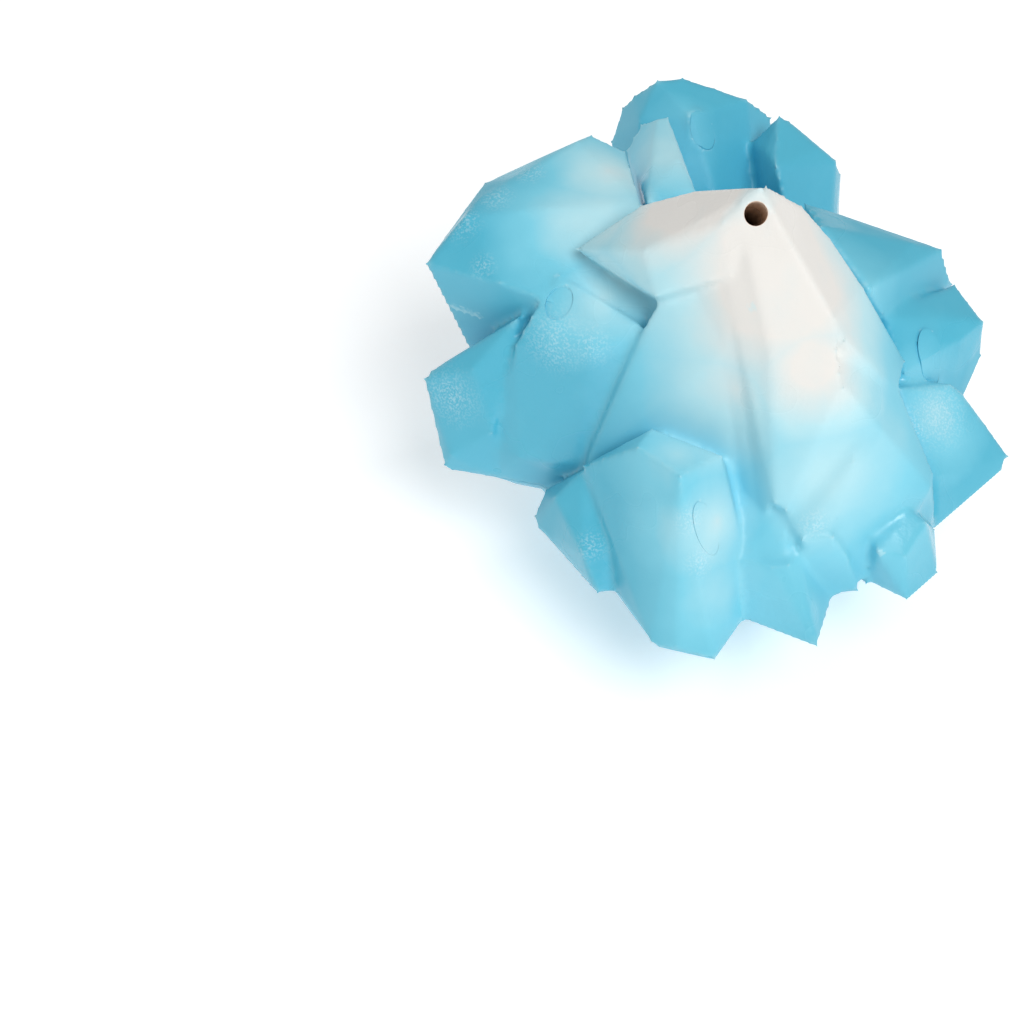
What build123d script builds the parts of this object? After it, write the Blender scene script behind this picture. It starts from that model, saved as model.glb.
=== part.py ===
"""Dryer ball: a hollow ball of crystal points, made as two shells held together by four pins.

The frame: millimetres, +Z up through the summit, the origin on the rest facet under the middle of
the ball. The front of the ball, with the long white rib, faces -Y.
"""

import math
import os

from build123d import *

os.makedirs("parts", exist_ok=True)

# Driving dimensions
joint_height = 22.0        # height of the joint between the two shells above the rest facet
upper_height = 52.0        # height of the summit above the joint
rest_radius = 12.0         # reach of the flat facet that the ball rests on
root_share = 0.4           # reach of a lower crystal's root, as a share of its reach at the joint
vent_diameter = 2.8        # the air hole at the summit
vent_x, vent_y = -0.7, -8.7
vent_height = 48.5         # above the joint, where the vent's axis meets the facet
vent_tilt = 40.0           # degrees from upright, towards the front
pin_diameter = 3.5         # the four joining pins, seen as round marks
pin_depth = 4.0            # how far a pin reaches below the joint
lip_height = 3.0           # the lower shell's lip, which locates the upper shell
lip_thickness = 1.5
lip_clearance = 0.1
pin_clearance = 0.02
cavity_radius = 19.5       # the hollow, widest at the joint
cavity_floor = 4.0         # wall under the hollow at the rest facet
cavity_top_radius = 3.0
cavity_top_y = 5.0         # set back, so that the vent runs into it
cavity_top_height = 31.0   # above the joint

# Corners of each crystal of the upper shell, measured from the ball's axis and up from the joint.
# A crystal is the convex solid between its corners; the last ones are buried in its neighbours.
upper_crystals = {
    "core": [
        (27, -2, 0), (20, -19, 0), (0, -27, 0), (-18, -20, 0), (-26, -8, 0), (-28, 6, 0),
        (-20, 26, 0), (0, 34, 0), (20, 26, 0), (28, 10, 0), (17, -2, 22), (12, 14, 24), (0, 26, 20),
        (-13, 16, 26), (-20, 2, 22), (-6, -12, 24), (7, -15, 24), (-1, -6, 43), (-3, -10, 39),
        (0, 5, 38),
    ],
    # The bottom of the long groove to the left of the rib
    "groove": [
        (-2, -10, 45.5), (-4, -11, 40.5), (-1.5, -15, 33), (0, -19, 24), (1.5, -24, 10.5),
        (1.5, -17.5, 33.5), (3, -25.5, 15.5), (4, -10, 38), (0, -10, 5),
    ],
    # The ridge that climbs from the left to the vent
    "summit": [
        (-0.5, -7, 51), (-2.5, -8, 49), (-4.5, -9, 47.5), (-2, -10, 46), (-3.5, -11.5, 41),
        (-13.5, -7, 41), (-12, -10, 36), (-21.5, 1.5, 33), (-13.5, 3.5, 38.5), (-7.5, -0.5, 44.5),
        (0, 5, 40), (-10, 8, 26), (-8, 2, 20), (0, 0, 20),
    ],
    # The long white rib that runs from the vent down the front
    "rib": [
        (0, -7, 51), (0.5, -7.5, 50), (-2, -10, 46), (1.5, -17.5, 34), (10.5, -20, 30.5),
        (9, -15.5, 38), (3, -25.5, 16), (4.5, -26, 15), (4, -25, 13.5), (-2, -12, 33),
        (0.5, -18.5, 8), (0, 0, 40), (5, -5, 20), (0, 0, 5),
    ],
    # The shoulder to the right of the rib, white above and blue below
    "shoulder": [
        (0.5, -7.5, 50), (0.5, -6, 50.5), (5.5, -3, 44.5), (9.5, -3, 39), (9, -15.5, 38),
        (14, -5.5, 33), (16.5, -6, 28), (20.5, -6.5, 21), (19, -12, 22), (16, -14.5, 26.5),
        (10.5, -16.5, 35), (12, 6, 20), (10, -14, 10), (0, 0, 40), (0, 0, 5),
    ],
    # The blue slab to the left of the rib
    "slab": [
        (-7, -10, 36), (-11.5, -8.5, 34), (-13, -9, 29.5), (-3.5, -14.5, 31.5), (-2.5, -18, 20.5),
        (-1, -20.5, 14.5), (-11.5, -15, 17.5), (-18, -9.5, 17), (-20, -14.5, 10), (0, 0, 10),
        (-20, -10, 0), (0, -26, 0),
    ],
    # The pale strip along the slab, down into the groove
    "vein": [
        (-7, -10, 36), (-3.5, -11.5, 40), (-1.5, -15, 33), (0, -19, 24), (1.5, -24, 10.5),
        (-1, -20.5, 14.5), (-2.5, -18, 20.5), (-3.5, -14.5, 31.5), (0, -5, 30), (0, -10, 5),
    ],
    # The large block at the upper left
    "left_block": [
        (-40.5, 5, 27), (-35.5, 8.5, 32), (-33.5, 12, 32), (-33, 17, 30), (-21, 20.5, 34),
        (-19, 23, 33), (-25, 8.5, 33.5), (-31, 0, 28.5), (-35, 5, 11), (-23, 3.5, 26), (-13, -7, 27),
        (-13, 8.5, 34), (-14.5, 22, 31), (-29, 6, 0), (-22, 20, 0), (-12, 18, 0),
    ],
    # The end of the wide wedge at the left
    "left_wedge": [
        (-41, -2, 13), (-40, -1.5, 14), (-40, -2, 12), (-37.5, -7.5, 4), (-38.5, -6.5, 1),
        (-37.5, -6.5, 0), (-34.5, -4.5, 17.5), (-32, -8.5, 9.5), (-32.5, -3, 20), (-30, -1.5, 21.5),
        (-31, -8, 5.5), (-28.5, -2, 24.5), (-31, -8, 0), (-30, 4, 0), (-25, 0, 5), (-24, 4, 22),
    ],
    # Its broad front, up to the left block
    "left_flank": [
        (-27, -3.5, 26), (-29, -4.5, 22), (-31.5, -7.5, 9), (-31, -8.5, 6), (-28.5, -10.5, 7),
        (-21, -12, 12), (-20.5, -13, 8.5), (-19.5, -8.5, 25), (-22.5, 4, 26), (-13, -8, 28.5),
        (-18.5, -6.5, 28), (-15.5, -8.5, 19), (-23.5, 0, 30), (-13.5, -6.5, 28), (-25, -9.5, 0),
        (-31, -8, 0), (-15, -8, 0), (-25, 4, 0),
    ],
    "front_left_spur": [
        (-20.5, -17, 12), (-24, -18, 8), (-20.5, -25, 5), (-18.5, -27.5, 0), (-16.5, -27, 0),
        (-16.5, -24, 7), (-19, -18, 10), (-25, -12.5, 3), (-26.5, -14.5, 0), (-26, -16.5, 0),
        (-14, -10, 8), (-12, -12, 0),
    ],
    # The stout pillar at the front
    "front_pillar": [
        (-9, -26.5, 22), (-14, -21, 21), (-12, -17, 20), (-3.5, -21.5, 20), (-20.5, -17, 13),
        (-0.5, -26.5, 9), (-9, -37, 1.5), (-12, -35.5, 0.5), (-11, -36, 0), (-4, -38, 0),
        (0, -31.5, 0), (-16, -27, 0), (0, -15, 5), (-12, -15, 0),
    ],
    # The flat between the groove, the pillar and the front spur
    "front_valley": [
        (-1, -21, 13), (1.5, -24, 10.5), (4, -25, 13), (4.5, -26, 12), (6, -27, 10), (5, -29.5, 8.5),
        (-0.5, -28, 8), (0, -15, 5), (6, -15, 5),
    ],
    "front_spur": [
        (5, -30, 9), (3, -30, 8.5), (-0.5, -28.5, 8), (6.5, -28, 9.5), (0, -31.5, 0), (9, -36, 0),
        (11.5, -28, 0), (6, -16, 10), (2, -18, 0),
    ],
    "front_right_foot": [
        (6.5, -28.5, 12), (10.5, -28, 12), (13, -27.5, 7), (15, -27, 0), (7.5, -28.5, 0),
        (12, -12, 14), (6, -16, 0),
    ],
    "front_right_ridge": [
        (13.5, -21, 23), (12.5, -23, 20.5), (6.5, -28, 12), (10, -27.5, 12), (4.5, -25.5, 14),
        (4.5, -26, 7), (12, -12, 10), (6, -14, 8),
    ],
    # The pale strip to the right of the rib
    "right_vein": [
        (10.5, -19.5, 30.5), (10, -14.5, 34), (16, -14.5, 26), (19, -12, 22), (16, -20, 23),
        (13.5, -21, 22.5), (4.5, -26, 14.5), (7, -24, 18), (8.5, -21, 27.5), (6, -12, 10),
        (12, -12, 12),
    ],
    # The slab to the right of the rib
    "right_slab": [
        (16, -20, 23), (19, -12, 22), (22, -15.5, 16), (24, -17.5, 12), (23.5, -19.5, 11.5),
        (13.5, -21, 22.5), (12, -24, 18.5), (11, -27, 11), (21, -19.5, 7.5), (17, -24, 4),
        (26, -16.5, 0), (16, -26, 0), (12, -2, 15), (10, -8, 0),
    ],
    "right_spur": [
        (16.5, -27, 8), (20, -27, 7), (23, -23, 9), (20.5, -22, 10), (21, -28.5, 0), (25.5, -24, 0),
        (25.5, -18.5, 2), (14, -12, 10), (12, -14, 0), (16.5, -25.5, 0),
    ],
    "right_wedge": [
        (20.5, -5.5, 15), (28, -2, 12), (30, -2, 10), (32, -3.5, 7.5), (37, -5, 1), (36, -6.5, 0),
        (26, -16.5, 0), (26, -12.5, 5.5), (23.5, -9.5, 9.5), (30, 4, 0), (16, 0, 12), (16, -8, 0),
    ],
    "right_block": [
        (18.5, 0.5, 22), (21.5, 4, 21), (29.5, 11.5, 17), (33, 6.5, 15), (33.5, 6, 9), (31.5, 4, 4),
        (29.5, 3, 15), (25.5, 1.5, 17), (29.5, 2, 10), (21.5, -3, 15), (29, 4, 0), (28, -3, 0),
        (22, -4, 0), (27, 14, 0), (12, 12, 0),
    ],
    "back_right_wedge": [
        (9, 17.5, 26), (14, 17.5, 24), (23, 12, 24), (27.5, 14, 21), (30, 14.5, 14), (22, 5.5, 20),
        (18, 0, 23), (15.5, -0.5, 28), (10.5, 11, 28), (26, 15, 0), (12, 22, 0), (10, 6, 0),
    ],
    "back_right_block": [
        (7, 35, 26), (8.5, 35, 25), (12.5, 31.5, 23), (15, 31.5, 21), (16, 32, 18), (17, 34.5, 8),
        (5, 30, 24), (6, 25.5, 25), (3.5, 35, 21), (15, 31, 0), (4, 33, 0), (14, 14, 0),
    ],
    "back_block": [
        (-15.5, 41, 16), (-14, 42.5, 21), (-12.5, 41.5, 24), (-9.5, 40, 28), (-6, 40.5, 28),
        (-5, 33.5, 27), (-12, 36, 24), (3, 39.5, 25), (7, 41.5, 20), (1.5, 37, 24), (-13, 38, 0),
        (6, 38, 0), (-10, 16, 0), (6, 16, 0),
    ],
    "back_point": [
        (-10, 29.5, 30), (-8.5, 30, 30), (-12, 32, 27), (-14, 30, 24), (-5.5, 15.5, 30),
        (-12, 12, 31), (-7.5, 20.5, 31), (-8, 10, 10), (-4, 14, 20),
    ],
}

# How each crystal carries on below the joint: how deep its belly is, its reach there as a share of
# its reach at the joint, how far it leans back, and how deep its root is.
bellies = {
    "core": (12.0, 0.90, 3.0, joint_height),
    "slab": (10.0, 0.90, 5.0, 15.0),
    "left_block": (9.0, 0.94, 1.0, 17.0),
    "left_wedge": (9.0, 0.90, 8.0, 12.0),
    "left_flank": (9.0, 0.95, 6.5, 14.0),
    "front_left_spur": (7.0, 0.96, 6.5, 10.0),
    "front_pillar": (9.0, 1.0, 7.5, 17.0),
    "front_spur": (12.0, 0.90, 10.0, 16.0),
    "front_right_foot": (7.0, 0.95, 6.0, 10.0),
    "right_slab": (8.0, 0.90, 8.0, 12.0),
    "right_spur": (8.0, 0.90, 8.0, 10.0),
    "right_wedge": (10.0, 0.90, 8.5, 14.0),
    "right_block": (9.0, 0.97, 4.0, 16.0),
    "back_right_wedge": (8.0, 0.98, 0.0, 15.0),
    "back_right_block": (11.0, 0.90, 0.0, 18.0),
    "back_block": (9.0, 1.0, 0.0, 17.0),
}

# The blunt wedges that lean out under the ball: heading in degrees from +X, reach, width and depth
# of the tip below the joint
under_wedges = [
    (10, 33, 14, 11), (47, 35, 13, 10), (88, 37, 18, 13), (125, 35, 14, 10), (155, 31, 14, 13),
    (200, 20, 14, 15), (240, 17, 14, 18), (285, 17, 13, 17), (330, 21, 15, 15),
]

# The pins: centre of each, and how far its end stands proud of the crystal (negative is sunk)
pins = {
    "joining_pin_front": (-5.5, -28.5, 0.2),
    "joining_pin_right": (25.0, 0.0, 0.5),
    "joining_pin_back": (-3.5, 33.0, 0.2),
    "joining_pin_left": (-23.5, -3.0, -0.3),
}


def raised(corners):
    """Corners measured from the joint, placed in the ball's frame."""
    return [(x, y, z + joint_height) for x, y, z in corners]


def keel(name):
    """Corners of the lower crystal that carries on from an upper one below the joint."""
    rim = [(x, y) for x, y, z in upper_crystals[name] if z == 0]
    depth, reach, lean, root_depth = bellies[name]
    belly = [(x * reach, y * reach + lean, -depth) for x, y in rim]
    root = [(x * root_share, y * root_share + lean, -root_depth) for x, y in rim]
    return raised([(x, y, 0) for x, y in rim] + belly + root)


def under_wedge(heading, reach, width, depth):
    """Corners of one blunt wedge between the joint and the rest facet."""
    facing_x = [
        (reach, -width / 5, -depth), (reach - 2, width / 4, -depth - 2),
        (reach - 7, -width / 2, 7 - depth), (reach - 8, width / 2, 8 - depth),
        (reach * 0.75, -1, -(depth + joint_height) / 2 - 1),
        (rest_radius, -width / 2, -joint_height), (rest_radius + 1, width / 3, -joint_height),
        (5, -3, -joint_height), (5, 3, -joint_height), (5, 0, -5),
    ]
    return raised([tuple(Vector(*corner).rotate(Axis.Z, heading)) for corner in facing_x])


# The hollow inside: widest at the joint, narrowing towards the summit and over the rest facet
with BuildPart() as hollow:
    with BuildSketch(Plane.XY.offset(joint_height)):
        Circle(cavity_radius)
    with BuildSketch(Plane.XY.offset(joint_height + cavity_top_height)):
        with Locations((0, cavity_top_y)):
            Circle(cavity_top_radius)
    loft()
    with BuildSketch(Plane.XY.offset(joint_height)):
        Circle(cavity_radius)
    with BuildSketch(Plane.XY.offset(cavity_floor)):
        Circle(rest_radius - cavity_floor)
    loft()

# The holes that the four pins are pressed into, through the upper shell and into the lower one
with BuildPart() as pin_holes:
    with BuildSketch(Plane.XY.offset(joint_height - pin_depth)):
        for x, y, proud in pins.values():
            with Locations((x, y)):
                Circle(pin_diameter / 2 + pin_clearance)
    extrude(amount=pin_depth + upper_height)

# The crystals above the joint, before they are hollowed
with BuildPart() as upper_cluster:
    for corners in upper_crystals.values():
        ConvexPolyhedron(raised(corners))

# The vent slants in from its facet and ends a little way into the hollow
vent_mouth = Plane((vent_x, vent_y, joint_height + vent_height)).rotated((vent_tilt, 0, 0))
vent_reach = (vent_height - cavity_top_height) / math.cos(math.radians(vent_tilt)) + 5

# The upper shell, with its vent
with BuildPart() as upper_shell:
    add(upper_cluster.part)
    add(hollow.part, mode=Mode.SUBTRACT)
    add(pin_holes.part, mode=Mode.SUBTRACT)
    with BuildSketch(Plane.XY.offset(joint_height)):
        Circle(cavity_radius + lip_thickness + lip_clearance)
    extrude(amount=lip_height + lip_clearance, mode=Mode.SUBTRACT)
    with BuildSketch(vent_mouth.offset(2)):
        Circle(vent_diameter / 2)
    extrude(amount=-vent_reach, mode=Mode.SUBTRACT)

# The lower shell, with the lip that locates the upper one
with BuildPart() as lower_shell:
    for name in bellies:
        ConvexPolyhedron(keel(name))
    for wedge in under_wedges:
        ConvexPolyhedron(under_wedge(*wedge))
    with BuildSketch(Plane.XY.offset(joint_height)):
        Circle(cavity_radius + lip_thickness)
    extrude(amount=lip_height)
    add(hollow.part, mode=Mode.SUBTRACT)
    add(pin_holes.part, mode=Mode.SUBTRACT)

pieces = {"upper_shell": upper_shell, "lower_shell": lower_shell}

# The pins, each cut off along the facet that it comes out of
for name, (x, y, proud) in pins.items():
    with BuildPart() as pin:
        with BuildSketch(Plane.XY.offset(joint_height)):
            with Locations((x, y)):
                Circle(pin_diameter / 2)
        extrude(amount=upper_height)
        add(upper_cluster.part.moved(Location((0, 0, proud))), mode=Mode.INTERSECT)
        with BuildSketch(Plane.XY.offset(joint_height - pin_depth)):
            with Locations((x, y)):
                Circle(pin_diameter / 2)
        extrude(amount=pin_depth + 1)
    pieces[name] = pin

for name, piece in pieces.items():
    piece.part.label = name
    export_step(piece.part, f"parts/{name}.step")
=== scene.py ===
"""Dryer ball: the look of the two shells and four pins, on a pale studio floor."""

import math

import bmesh
import bpy
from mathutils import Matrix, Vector


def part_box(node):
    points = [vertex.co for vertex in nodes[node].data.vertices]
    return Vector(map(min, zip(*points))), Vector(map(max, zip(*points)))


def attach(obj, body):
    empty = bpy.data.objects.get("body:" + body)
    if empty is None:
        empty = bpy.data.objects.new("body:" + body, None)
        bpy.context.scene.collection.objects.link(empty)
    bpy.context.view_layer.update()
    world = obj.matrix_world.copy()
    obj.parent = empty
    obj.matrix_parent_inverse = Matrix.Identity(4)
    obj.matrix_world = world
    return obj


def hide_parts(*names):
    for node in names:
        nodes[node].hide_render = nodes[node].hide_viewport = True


MM = 0.001

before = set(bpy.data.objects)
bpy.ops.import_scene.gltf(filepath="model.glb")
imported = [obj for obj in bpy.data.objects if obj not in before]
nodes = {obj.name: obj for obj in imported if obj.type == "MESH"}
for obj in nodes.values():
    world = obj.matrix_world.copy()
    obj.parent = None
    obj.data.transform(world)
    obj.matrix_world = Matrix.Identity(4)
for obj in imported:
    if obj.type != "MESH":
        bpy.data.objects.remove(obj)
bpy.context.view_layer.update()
scene = bpy.context.scene

JOINT_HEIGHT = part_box("upper_shell")[0].z

# The skins
VOXEL = 0.5 * MM
EDGE_ROUNDING_PASSES = 3
CRISP_ANGLE = math.radians(60)

# The pins: how far each stands proud of its facet, in millimetres
PIN_PROUD = {
    "joining_pin_front": 0.2,
    "joining_pin_right": 0.5,
    "joining_pin_back": 0.2,
    "joining_pin_left": -0.3,
}
PIN_HOLE_RADIUS = 1.77 * MM
PLUG_SCALE = 1.25
PIN_SKIRT = 1 * MM

# The vent, which slants in through the facet below the summit. Its tan ends where the hollow begins,
# its plug fills it for the rounding, and the cut that opens it again starts above the facet.
VENT_RADIUS = 1.4 * MM
VENT_DEPTH = 30 * MM
VENT_PLUG_DEPTH = 18 * MM
VENT_CUT_DEPTH = 26 * MM
CUT_PAST = 4 * MM
VENT_PLUG_RADIUS = 2.2 * MM
VENT_TILT = math.radians(40)
VENT_AXIS = Vector((0, -math.sin(VENT_TILT), math.cos(VENT_TILT)))
VENT_MOUTH = Vector((-0.7, -8.7, 70.5)) * MM
VENT_FACET = [Vector(corner) * MM for corner in ((0, -7, 73), (0.5, -7.5, 72), (-2, -10, 68))]

# Paint colours
IVORY = (0.83, 0.81, 0.77, 1)
PALE_BLUE = (0.48, 0.78, 0.85, 1)
LIGHT_BLUE = (0.20, 0.64, 0.80, 1)
SKY_BLUE = (0.085, 0.48, 0.65, 1)
# Lighter blue on the edges: partly worn paint, partly a painted highlight
WORN_AND_HIGHLIGHT_BLUE = (0.60, 0.86, 0.90, 1)
# Darker blue in the valleys: painted shade
PAINTED_VALLEY_SHADE_BLUE = (0.05, 0.44, 0.60, 1)
VENT_TAN = (0.92, 0.74, 0.60, 1)
SPECK_BROWN = (0.09, 0.07, 0.05, 1)

# Where the ivory of the moulding shows through the blue: centre, then the distances in millimetres
# where it starts to turn blue and is wholly blue. A start below zero is a spot that is only paler.
IVORY_SPOTS = [
    ((3, -12, 64), 8, 30),
    ((7, -18, 55), 3, 20),
    ((-2, -17, 49), -4, 22),
    ((-4, -27, 36), -5, 14),
    ((-9, -22, 43), -8, 12),
    ((-18, -3, 51), -4, 11),
    ((-17, 15, 56), -3, 14),
    ((26, -6, 33), -8, 10),
    ((9, -24, 42), -13, 26),
    ((-2, -33, 30), -14, 16),
    ((-9, -1, 70), 8, 22),
    ((-19, 5, 62), 0, 18),
    ((-8, 22, 56), -4, 17),
    ((-16, -3, 54), -4, 14),
]
# How far the edge of an ivory spot wanders, in millimetres, and how far the blue varies
DRIFT = 6
MOTTLE = 0.16

# Small dark specks in the surface, in millimetres
SPECKS = [(-18.5, -9.5, 40), (8.5, -6, 66), (13.8, -6, 54), (27.5, -6.5, 31.5), (-24, 6, 55.5)]
SPECK_RADIUS = 0.22

# Where a glint is painted into the colour, on patches of glossier varnish: centre and the distance in
# millimetres at which the painted glint has faded out
PAINTED_GLINT_SPOTS = [
    ((-36, 8, 54), 4),
    ((-31.5, 11.5, 55), 3.5),
    ((-27, 15.5, 55), 3),
    ((-33, 2.5, 51), 2.5),
    ((-37.5, -4.5, 34.5), 6),
    ((-24, -6, 46.5), 6),
    ((-19.5, -8, 47.5), 4),
    ((26.5, -6, 32.5), 7),
    ((23, -9, 33), 5),
    ((8, -27, 35.5), 3),
    ((-7.5, -29, 38.5), 3),
    ((-6, -31.5, 33.5), 3),
    ((-19.5, -24.5, 28), 3),
]
# The painted glint: the white it turns the colour towards, and how far
PAINTED_GLINT_WHITE = (0.78, 0.93, 0.97, 1)
PAINTED_GLINT_STRENGTH = 0.3

# How strongly the worn paint and painted highlight on the edges show, how strongly the painted shade in the
# valleys shows, and the height of the varnish's relief
WORN_AND_HIGHLIGHT_STRENGTH = 0.4
PAINTED_VALLEY_SHADE_STRENGTH = 0.45
RELIEF = 0.12 * MM
MATT = 0.48
GLOSSY = 0.24


# --- Materials -------------------------------------------------------------

def node(tree, kind, **values):
    """A new shader node, with its inputs and properties set by name."""
    made = tree.nodes.new(kind)
    for name, value in values.items():
        if hasattr(made, name):
            setattr(made, name, value)
        else:
            made.inputs[name.replace("_", " ")].default_value = value
    return made


def math_node(tree, operation, *values):
    """The sum, product or other result of sockets or numbers."""
    made = node(tree, "ShaderNodeMath", operation=operation)
    for socket, value in zip(made.inputs, values):
        if isinstance(value, (int, float)):
            socket.default_value = value
        else:
            tree.links.new(value, socket)
    return made.outputs[0]


def remap(tree, value, low, high, smooth=True):
    """A socket's value, stretched so that low becomes 0 and high becomes 1."""
    made = node(tree, "ShaderNodeMapRange")
    made.interpolation_type = "SMOOTHSTEP" if smooth else "LINEAR"
    made.inputs["From Min"].default_value = low
    made.inputs["From Max"].default_value = high
    tree.links.new(value, made.inputs["Value"])
    return made.outputs["Result"]


def noise(tree, place, scale, detail):
    made = node(tree, "ShaderNodeTexNoise", Scale=scale, Detail=detail)
    tree.links.new(place, made.inputs["Vector"])
    return made.outputs["Fac"]


def distance_to(tree, place, centre):
    made = node(tree, "ShaderNodeVectorMath", operation="DISTANCE")
    tree.links.new(place, made.inputs[0])
    made.inputs[1].default_value = [c * MM for c in centre]
    return made.outputs["Value"]


def mix_colour(tree, amount, below, above):
    """Colour below turned into colour above by an amount from 0 to 1."""
    made = node(tree, "ShaderNodeMix", data_type="RGBA")
    tree.links.new(amount, made.inputs[0])
    for socket, value in ((made.inputs[6], below), (made.inputs[7], above)):
        if isinstance(value, tuple):
            socket.default_value = value
        else:
            tree.links.new(value, socket)
    return made.outputs[2]


def vent_place(tree, place):
    """How far a point is from the axis of the vent, and how far out along it from the mouth."""
    link = tree.links.new
    arm = node(tree, "ShaderNodeVectorMath", operation="SUBTRACT")
    link(place, arm.inputs[0])
    arm.inputs[1].default_value = VENT_MOUTH
    along = node(tree, "ShaderNodeVectorMath", operation="DOT_PRODUCT")
    link(arm.outputs[0], along.inputs[0])
    along.inputs[1].default_value = VENT_AXIS
    foot = node(tree, "ShaderNodeVectorMath", operation="SCALE")
    foot.inputs[0].default_value = VENT_AXIS
    link(along.outputs["Value"], foot.inputs["Scale"])
    offset = node(tree, "ShaderNodeVectorMath", operation="DISTANCE")
    link(arm.outputs[0], offset.inputs[0])
    link(foot.outputs[0], offset.inputs[1])
    return offset.outputs["Value"], along.outputs["Value"]


def painted_rubber(name, is_skin):
    """Ivory moulding, airbrushed from pale to sky blue away from the summit."""
    material = bpy.data.materials.new(name)
    material.use_nodes = True
    tree = material.node_tree
    link = tree.links.new
    shader = tree.nodes["Principled BSDF"]
    place = node(tree, "ShaderNodeTexCoord").outputs["Object"]

    # The airbrushed blue
    drift = math_node(tree, "MULTIPLY", noise(tree, place, 90, 3), DRIFT * MM)
    blue = None
    for centre, near, far in IVORY_SPOTS:
        reach = math_node(tree, "ADD", distance_to(tree, place, centre), drift)
        away = remap(tree, reach, (near + DRIFT / 2) * MM, (far + DRIFT / 2) * MM, False)
        blue = away if blue is None else math_node(tree, "MINIMUM", blue, away)
    mottle = math_node(tree, "MULTIPLY_ADD", noise(tree, place, 160, 4), MOTTLE, -MOTTLE / 2)
    blue = math_node(tree, "ADD", blue, mottle)
    ramp = node(tree, "ShaderNodeValToRGB")
    link(blue, ramp.inputs["Fac"])
    ramp.color_ramp.elements[0].color = IVORY
    ramp.color_ramp.elements[1].color = SKY_BLUE
    ramp.color_ramp.elements.new(0.33).color = PALE_BLUE
    ramp.color_ramp.elements.new(0.66).color = LIGHT_BLUE
    colour = ramp.outputs["Color"]

    if is_skin:
        # Edges lightened, partly worn paint and partly a painted highlight, and valleys darkened with
        # painted shade
        pointiness = node(tree, "ShaderNodeNewGeometry").outputs["Pointiness"]
        worn_and_highlight = remap(tree, pointiness, 0.515, 0.59)
        worn_and_highlight = math_node(tree, "MULTIPLY", worn_and_highlight, remap(tree, noise(tree, place, 800, 3), 0.30, 0.62))
        colour = mix_colour(tree, math_node(tree, "MULTIPLY", worn_and_highlight, WORN_AND_HIGHLIGHT_STRENGTH), colour, WORN_AND_HIGHLIGHT_BLUE)
        # Painted shade: the blue darkened in the valleys
        painted_valley_shade = math_node(tree, "MULTIPLY", remap(tree, pointiness, 0.47, 0.36), blue)
        colour = mix_colour(tree, math_node(tree, "MULTIPLY", painted_valley_shade, PAINTED_VALLEY_SHADE_STRENGTH), colour, PAINTED_VALLEY_SHADE_BLUE)
        # Specks, and the bare wall of the vent
        for speck in SPECKS:
            dark = remap(tree, distance_to(tree, place, speck), 1.3 * SPECK_RADIUS * MM, SPECK_RADIUS * MM)
            colour = mix_colour(tree, dark, colour, SPECK_BROWN)
        radius, along = vent_place(tree, place)
        in_vent = remap(tree, radius, VENT_RADIUS * 1.06, VENT_RADIUS * 1.01)
        in_vent = math_node(tree, "MULTIPLY", in_vent, remap(tree, along, -VENT_DEPTH, 1 * MM - VENT_DEPTH))
        colour = mix_colour(tree, in_vent, colour, VENT_TAN)

    # Painted glints: patches of varnish lightened towards white, broken up by the orange peel
    painted_glint_and_gloss = None
    for centre, reach in PAINTED_GLINT_SPOTS:
        near = remap(tree, distance_to(tree, place, centre), reach * MM, 0)
        painted_glint_and_gloss = near if painted_glint_and_gloss is None else math_node(tree, "MAXIMUM", painted_glint_and_gloss, near)
    painted_glint_breakup = remap(tree, noise(tree, place, 3400, 3), 0.44, 0.66)
    painted_glitter = math_node(tree, "MULTIPLY", math_node(tree, "MULTIPLY", painted_glint_and_gloss, painted_glint_breakup), PAINTED_GLINT_STRENGTH)
    colour = mix_colour(tree, painted_glitter, colour, PAINTED_GLINT_WHITE)
    link(colour, shader.inputs["Base Color"])

    # Patches of glossier varnish, with a fine orange peel
    patches = math_node(tree, "MAXIMUM", painted_glint_and_gloss, remap(tree, noise(tree, place, 70, 2), 0.50, 0.62))
    roughness = node(tree, "ShaderNodeMapRange")
    link(patches, roughness.inputs["Value"])
    roughness.inputs["To Min"].default_value = MATT
    roughness.inputs["To Max"].default_value = GLOSSY
    link(roughness.outputs["Result"], shader.inputs["Roughness"])
    peel = noise(tree, place, 1500, 2)
    swell = noise(tree, place, 300, 2)
    relief = math_node(tree, "MULTIPLY", peel, math_node(tree, "MULTIPLY_ADD", patches, 0.8, 0.2))
    relief = math_node(tree, "ADD", relief, math_node(tree, "MULTIPLY", swell, 1.5))
    bump = node(tree, "ShaderNodeBump", Strength=0.35, Distance=RELIEF)
    link(relief, bump.inputs["Height"])
    link(bump.outputs["Normal"], shader.inputs["Normal"])
    return material


# --- Pieces ----------------------------------------------------------------

def prism(ring_low, ring_high):
    """A closed mesh between two rings of points."""
    count = len(ring_low)
    mesh = bpy.data.meshes.new("prism")
    sides = [(i, (i + 1) % count, count + (i + 1) % count, count + i) for i in range(count)]
    ends = [tuple(reversed(range(count))), tuple(range(count, 2 * count))]
    mesh.from_pydata(list(ring_low) + list(ring_high), [], sides + ends)
    return mesh


def ring(centre, axis, radius, count=64):
    turn = axis.to_track_quat("Z", "Y")
    angles = [2 * math.pi * i / count for i in range(count)]
    return [centre + turn @ Vector((radius * math.cos(a), radius * math.sin(a), 0)) for a in angles]


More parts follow.
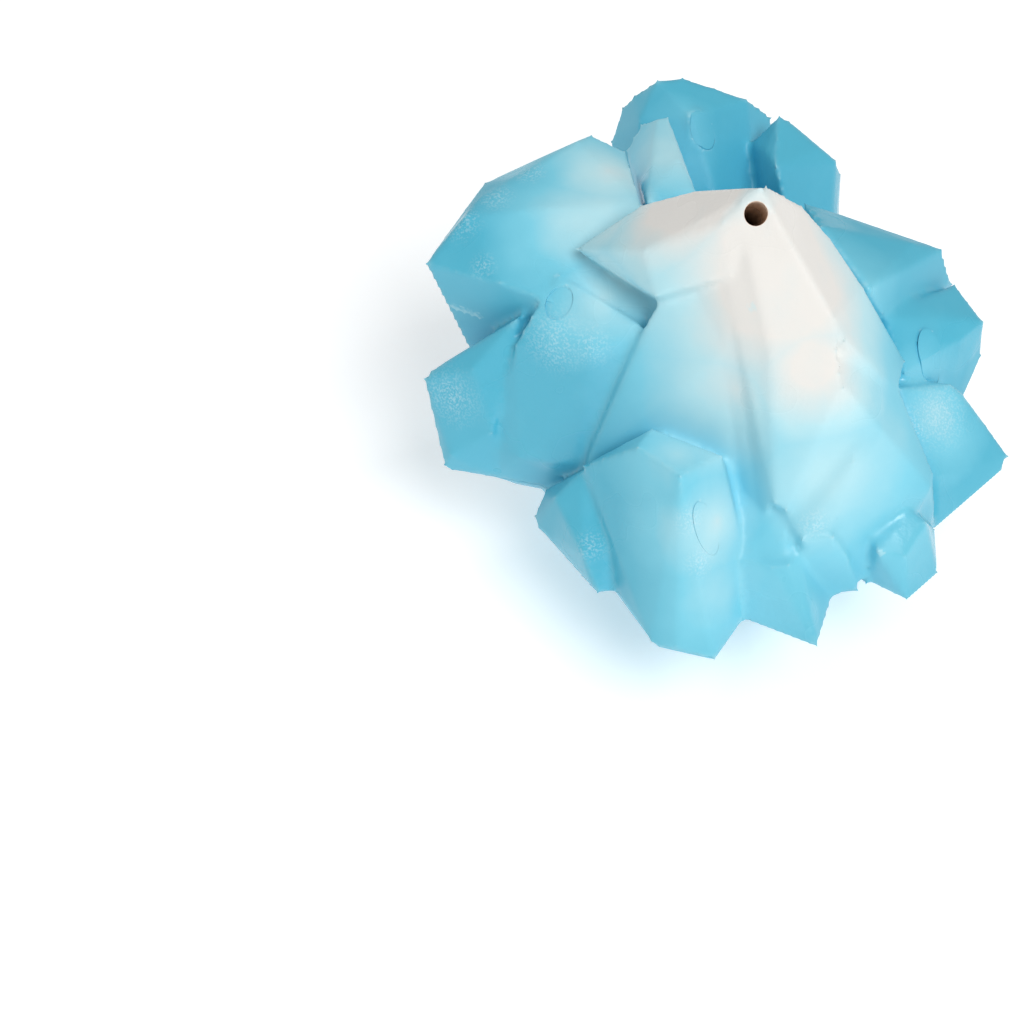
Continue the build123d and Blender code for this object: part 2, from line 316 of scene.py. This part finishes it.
def vent_plug():
    """What fills the vent up to its facet, so that its rim can be cut clean."""
    normal = (VENT_FACET[1] - VENT_FACET[0]).cross(VENT_FACET[2] - VENT_FACET[0]).normalized()
    low = ring(VENT_MOUTH - VENT_AXIS * VENT_PLUG_DEPTH, VENT_AXIS, VENT_PLUG_RADIUS)
    rise = [(VENT_FACET[0] - point).dot(normal) / VENT_AXIS.dot(normal) for point in low]
    high = [point + VENT_AXIS * lift for point, lift in zip(low, rise)]
    return prism(low, high)


def pin_middle(name):
    low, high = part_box(name)
    return (low + high) / 2


def pin_plug(name):
    """What fills a pin's hole up to its facet."""
    middle = pin_middle(name)
    hit, top, _, _ = nodes[name].ray_cast(Vector((middle.x, middle.y, 1)), Vector((0, 0, -1)))
    mesh = nodes[name].data.copy()
    for vertex in mesh.vertices:
        vertex.co = top + (vertex.co - top) * PLUG_SCALE
        vertex.co.z = max(vertex.co.z - PIN_PROUD[name] * MM, JOINT_HEIGHT + PIN_SKIRT)
    return mesh


def pin_cutter(name):
    middle = pin_middle(name)
    up = Vector((0, 0, 1))
    low = Vector((middle.x, middle.y, JOINT_HEIGHT - PIN_SKIRT))
    high = Vector((middle.x, middle.y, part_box(name)[1].z + CUT_PAST))
    return prism(ring(low, up, PIN_HOLE_RADIUS), ring(high, up, PIN_HOLE_RADIUS))


def vent_cutter():
    low = VENT_MOUTH - VENT_AXIS * VENT_CUT_DEPTH
    high = VENT_MOUTH + VENT_AXIS * CUT_PAST
    return prism(ring(low, VENT_AXIS, VENT_RADIUS), ring(high, VENT_AXIS, VENT_RADIUS))


def joined(meshes):
    """One mesh with the faces of several."""
    together = bmesh.new()
    for mesh in meshes:
        together.from_mesh(mesh)
    mesh = bpy.data.meshes.new("joined")
    together.to_mesh(mesh)
    together.free()
    return mesh


def softened(mesh, cutter):
    """The mesh with its edges and valleys rounded as moulded rubber has them, then cut clean."""
    helper = bpy.data.objects.new("helper", mesh)
    scene.collection.objects.link(helper)
    remesh = helper.modifiers.new("even_surface", "REMESH")
    remesh.mode = "VOXEL"
    remesh.voxel_size = VOXEL
    soften = helper.modifiers.new("soft_edges", "SMOOTH")
    soften.factor = 0.5
    soften.iterations = EDGE_ROUNDING_PASSES
    tool = None
    if cutter:
        tool = bpy.data.objects.new("tool", cutter)
        scene.collection.objects.link(tool)
        cut = helper.modifiers.new("clean_holes", "BOOLEAN")
        cut.operation = "DIFFERENCE"
        cut.solver = "EXACT"
        cut.object = tool
    shape = bpy.data.meshes.new_from_object(helper.evaluated_get(bpy.context.evaluated_depsgraph_get()))
    for spare in (helper, tool):
        if spare:
            bpy.data.objects.remove(spare)
    return shape


def skin(cad_name, piece_name, material, plugs, cutters):
    """The visible skin of one shell."""
    mesh = softened(joined([nodes[cad_name].data] + plugs), joined(cutters) if cutters else None)
    mesh.materials.clear()
    mesh.materials.append(material)
    mesh.polygons.foreach_set("material_index", [0] * len(mesh.polygons))
    mesh.shade_smooth()
    mesh.set_sharp_from_angle(angle=CRISP_ANGLE)
    piece = bpy.data.objects.new(piece_name, mesh)
    scene.collection.objects.link(piece)
    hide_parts(cad_name)
    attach(piece, "root")
    return piece


paint = painted_rubber("airbrushed_rubber", True)
pin_paint = painted_rubber("pin_rubber", False)
skin(
    "upper_shell",
    "upper_skin",
    paint,
    [pin_plug(name) for name in PIN_PROUD] + [vent_plug()],
    [pin_cutter(name) for name in PIN_PROUD] + [vent_cutter()],
)
skin("lower_shell", "lower_skin", paint, [], [])
for name in PIN_PROUD:
    nodes[name].data.materials.clear()
    nodes[name].data.materials.append(pin_paint)


# --- Floor, light and camera ------------------------------------------------

FLOOR_GLOW = 0.36
WORLD_LIGHT = 0.38


def plain_material(name, colour, roughness):
    material = bpy.data.materials.new(name)
    material.use_nodes = True
    shader = material.node_tree.nodes["Principled BSDF"]
    shader.inputs["Base Color"].default_value = colour
    shader.inputs["Roughness"].default_value = roughness
    return material


def softbox(name, place, target, size, power):
    """A square area light that faces a point of the object."""
    lamp = bpy.data.lights.new(name, "AREA")
    lamp.size = size
    lamp.energy = power
    obj = bpy.data.objects.new(name, lamp)
    obj.location = place
    obj.rotation_euler = (Vector(target) - Vector(place)).to_track_quat("-Z", "Y").to_euler()
    scene.collection.objects.link(obj)
    return obj


bpy.ops.mesh.primitive_plane_add(size=6)
floor = bpy.context.object
floor.name = "studio_floor"
pale = plain_material("pale_floor", (0.92, 0.92, 0.92, 1), 0.8)
floor_shader = pale.node_tree.nodes["Principled BSDF"]
floor_shader.inputs["Emission Color"].default_value = (1, 1, 1, 1)
floor_shader.inputs["Emission Strength"].default_value = FLOOR_GLOW
floor.data.materials.append(pale)

ball_middle = (0, 0, 35 * MM)
softbox("key", (0.2, -0.44, 0.69), ball_middle, 0.36, 4.0)
softbox("rim", (-0.5, 0.45, 0.6), ball_middle, 0.4, 0.9)

world = bpy.data.worlds.new("studio")
scene.world = world
world.use_nodes = True
world.node_tree.nodes["Background"].inputs["Color"].default_value = (1, 1, 1, 1)
world.node_tree.nodes["Background"].inputs["Strength"].default_value = WORLD_LIGHT
scene.view_settings.view_transform = "Standard"

lens = bpy.data.cameras.new("camera")
lens.lens = 85
lens.sensor_width = 36
camera = bpy.data.objects.new("camera", lens)
camera.location = (-0.0294, -0.2183, 0.2437 + JOINT_HEIGHT)
camera.rotation_euler = (math.radians(40), 0, 0)
scene.collection.objects.link(camera)
scene.camera = camera
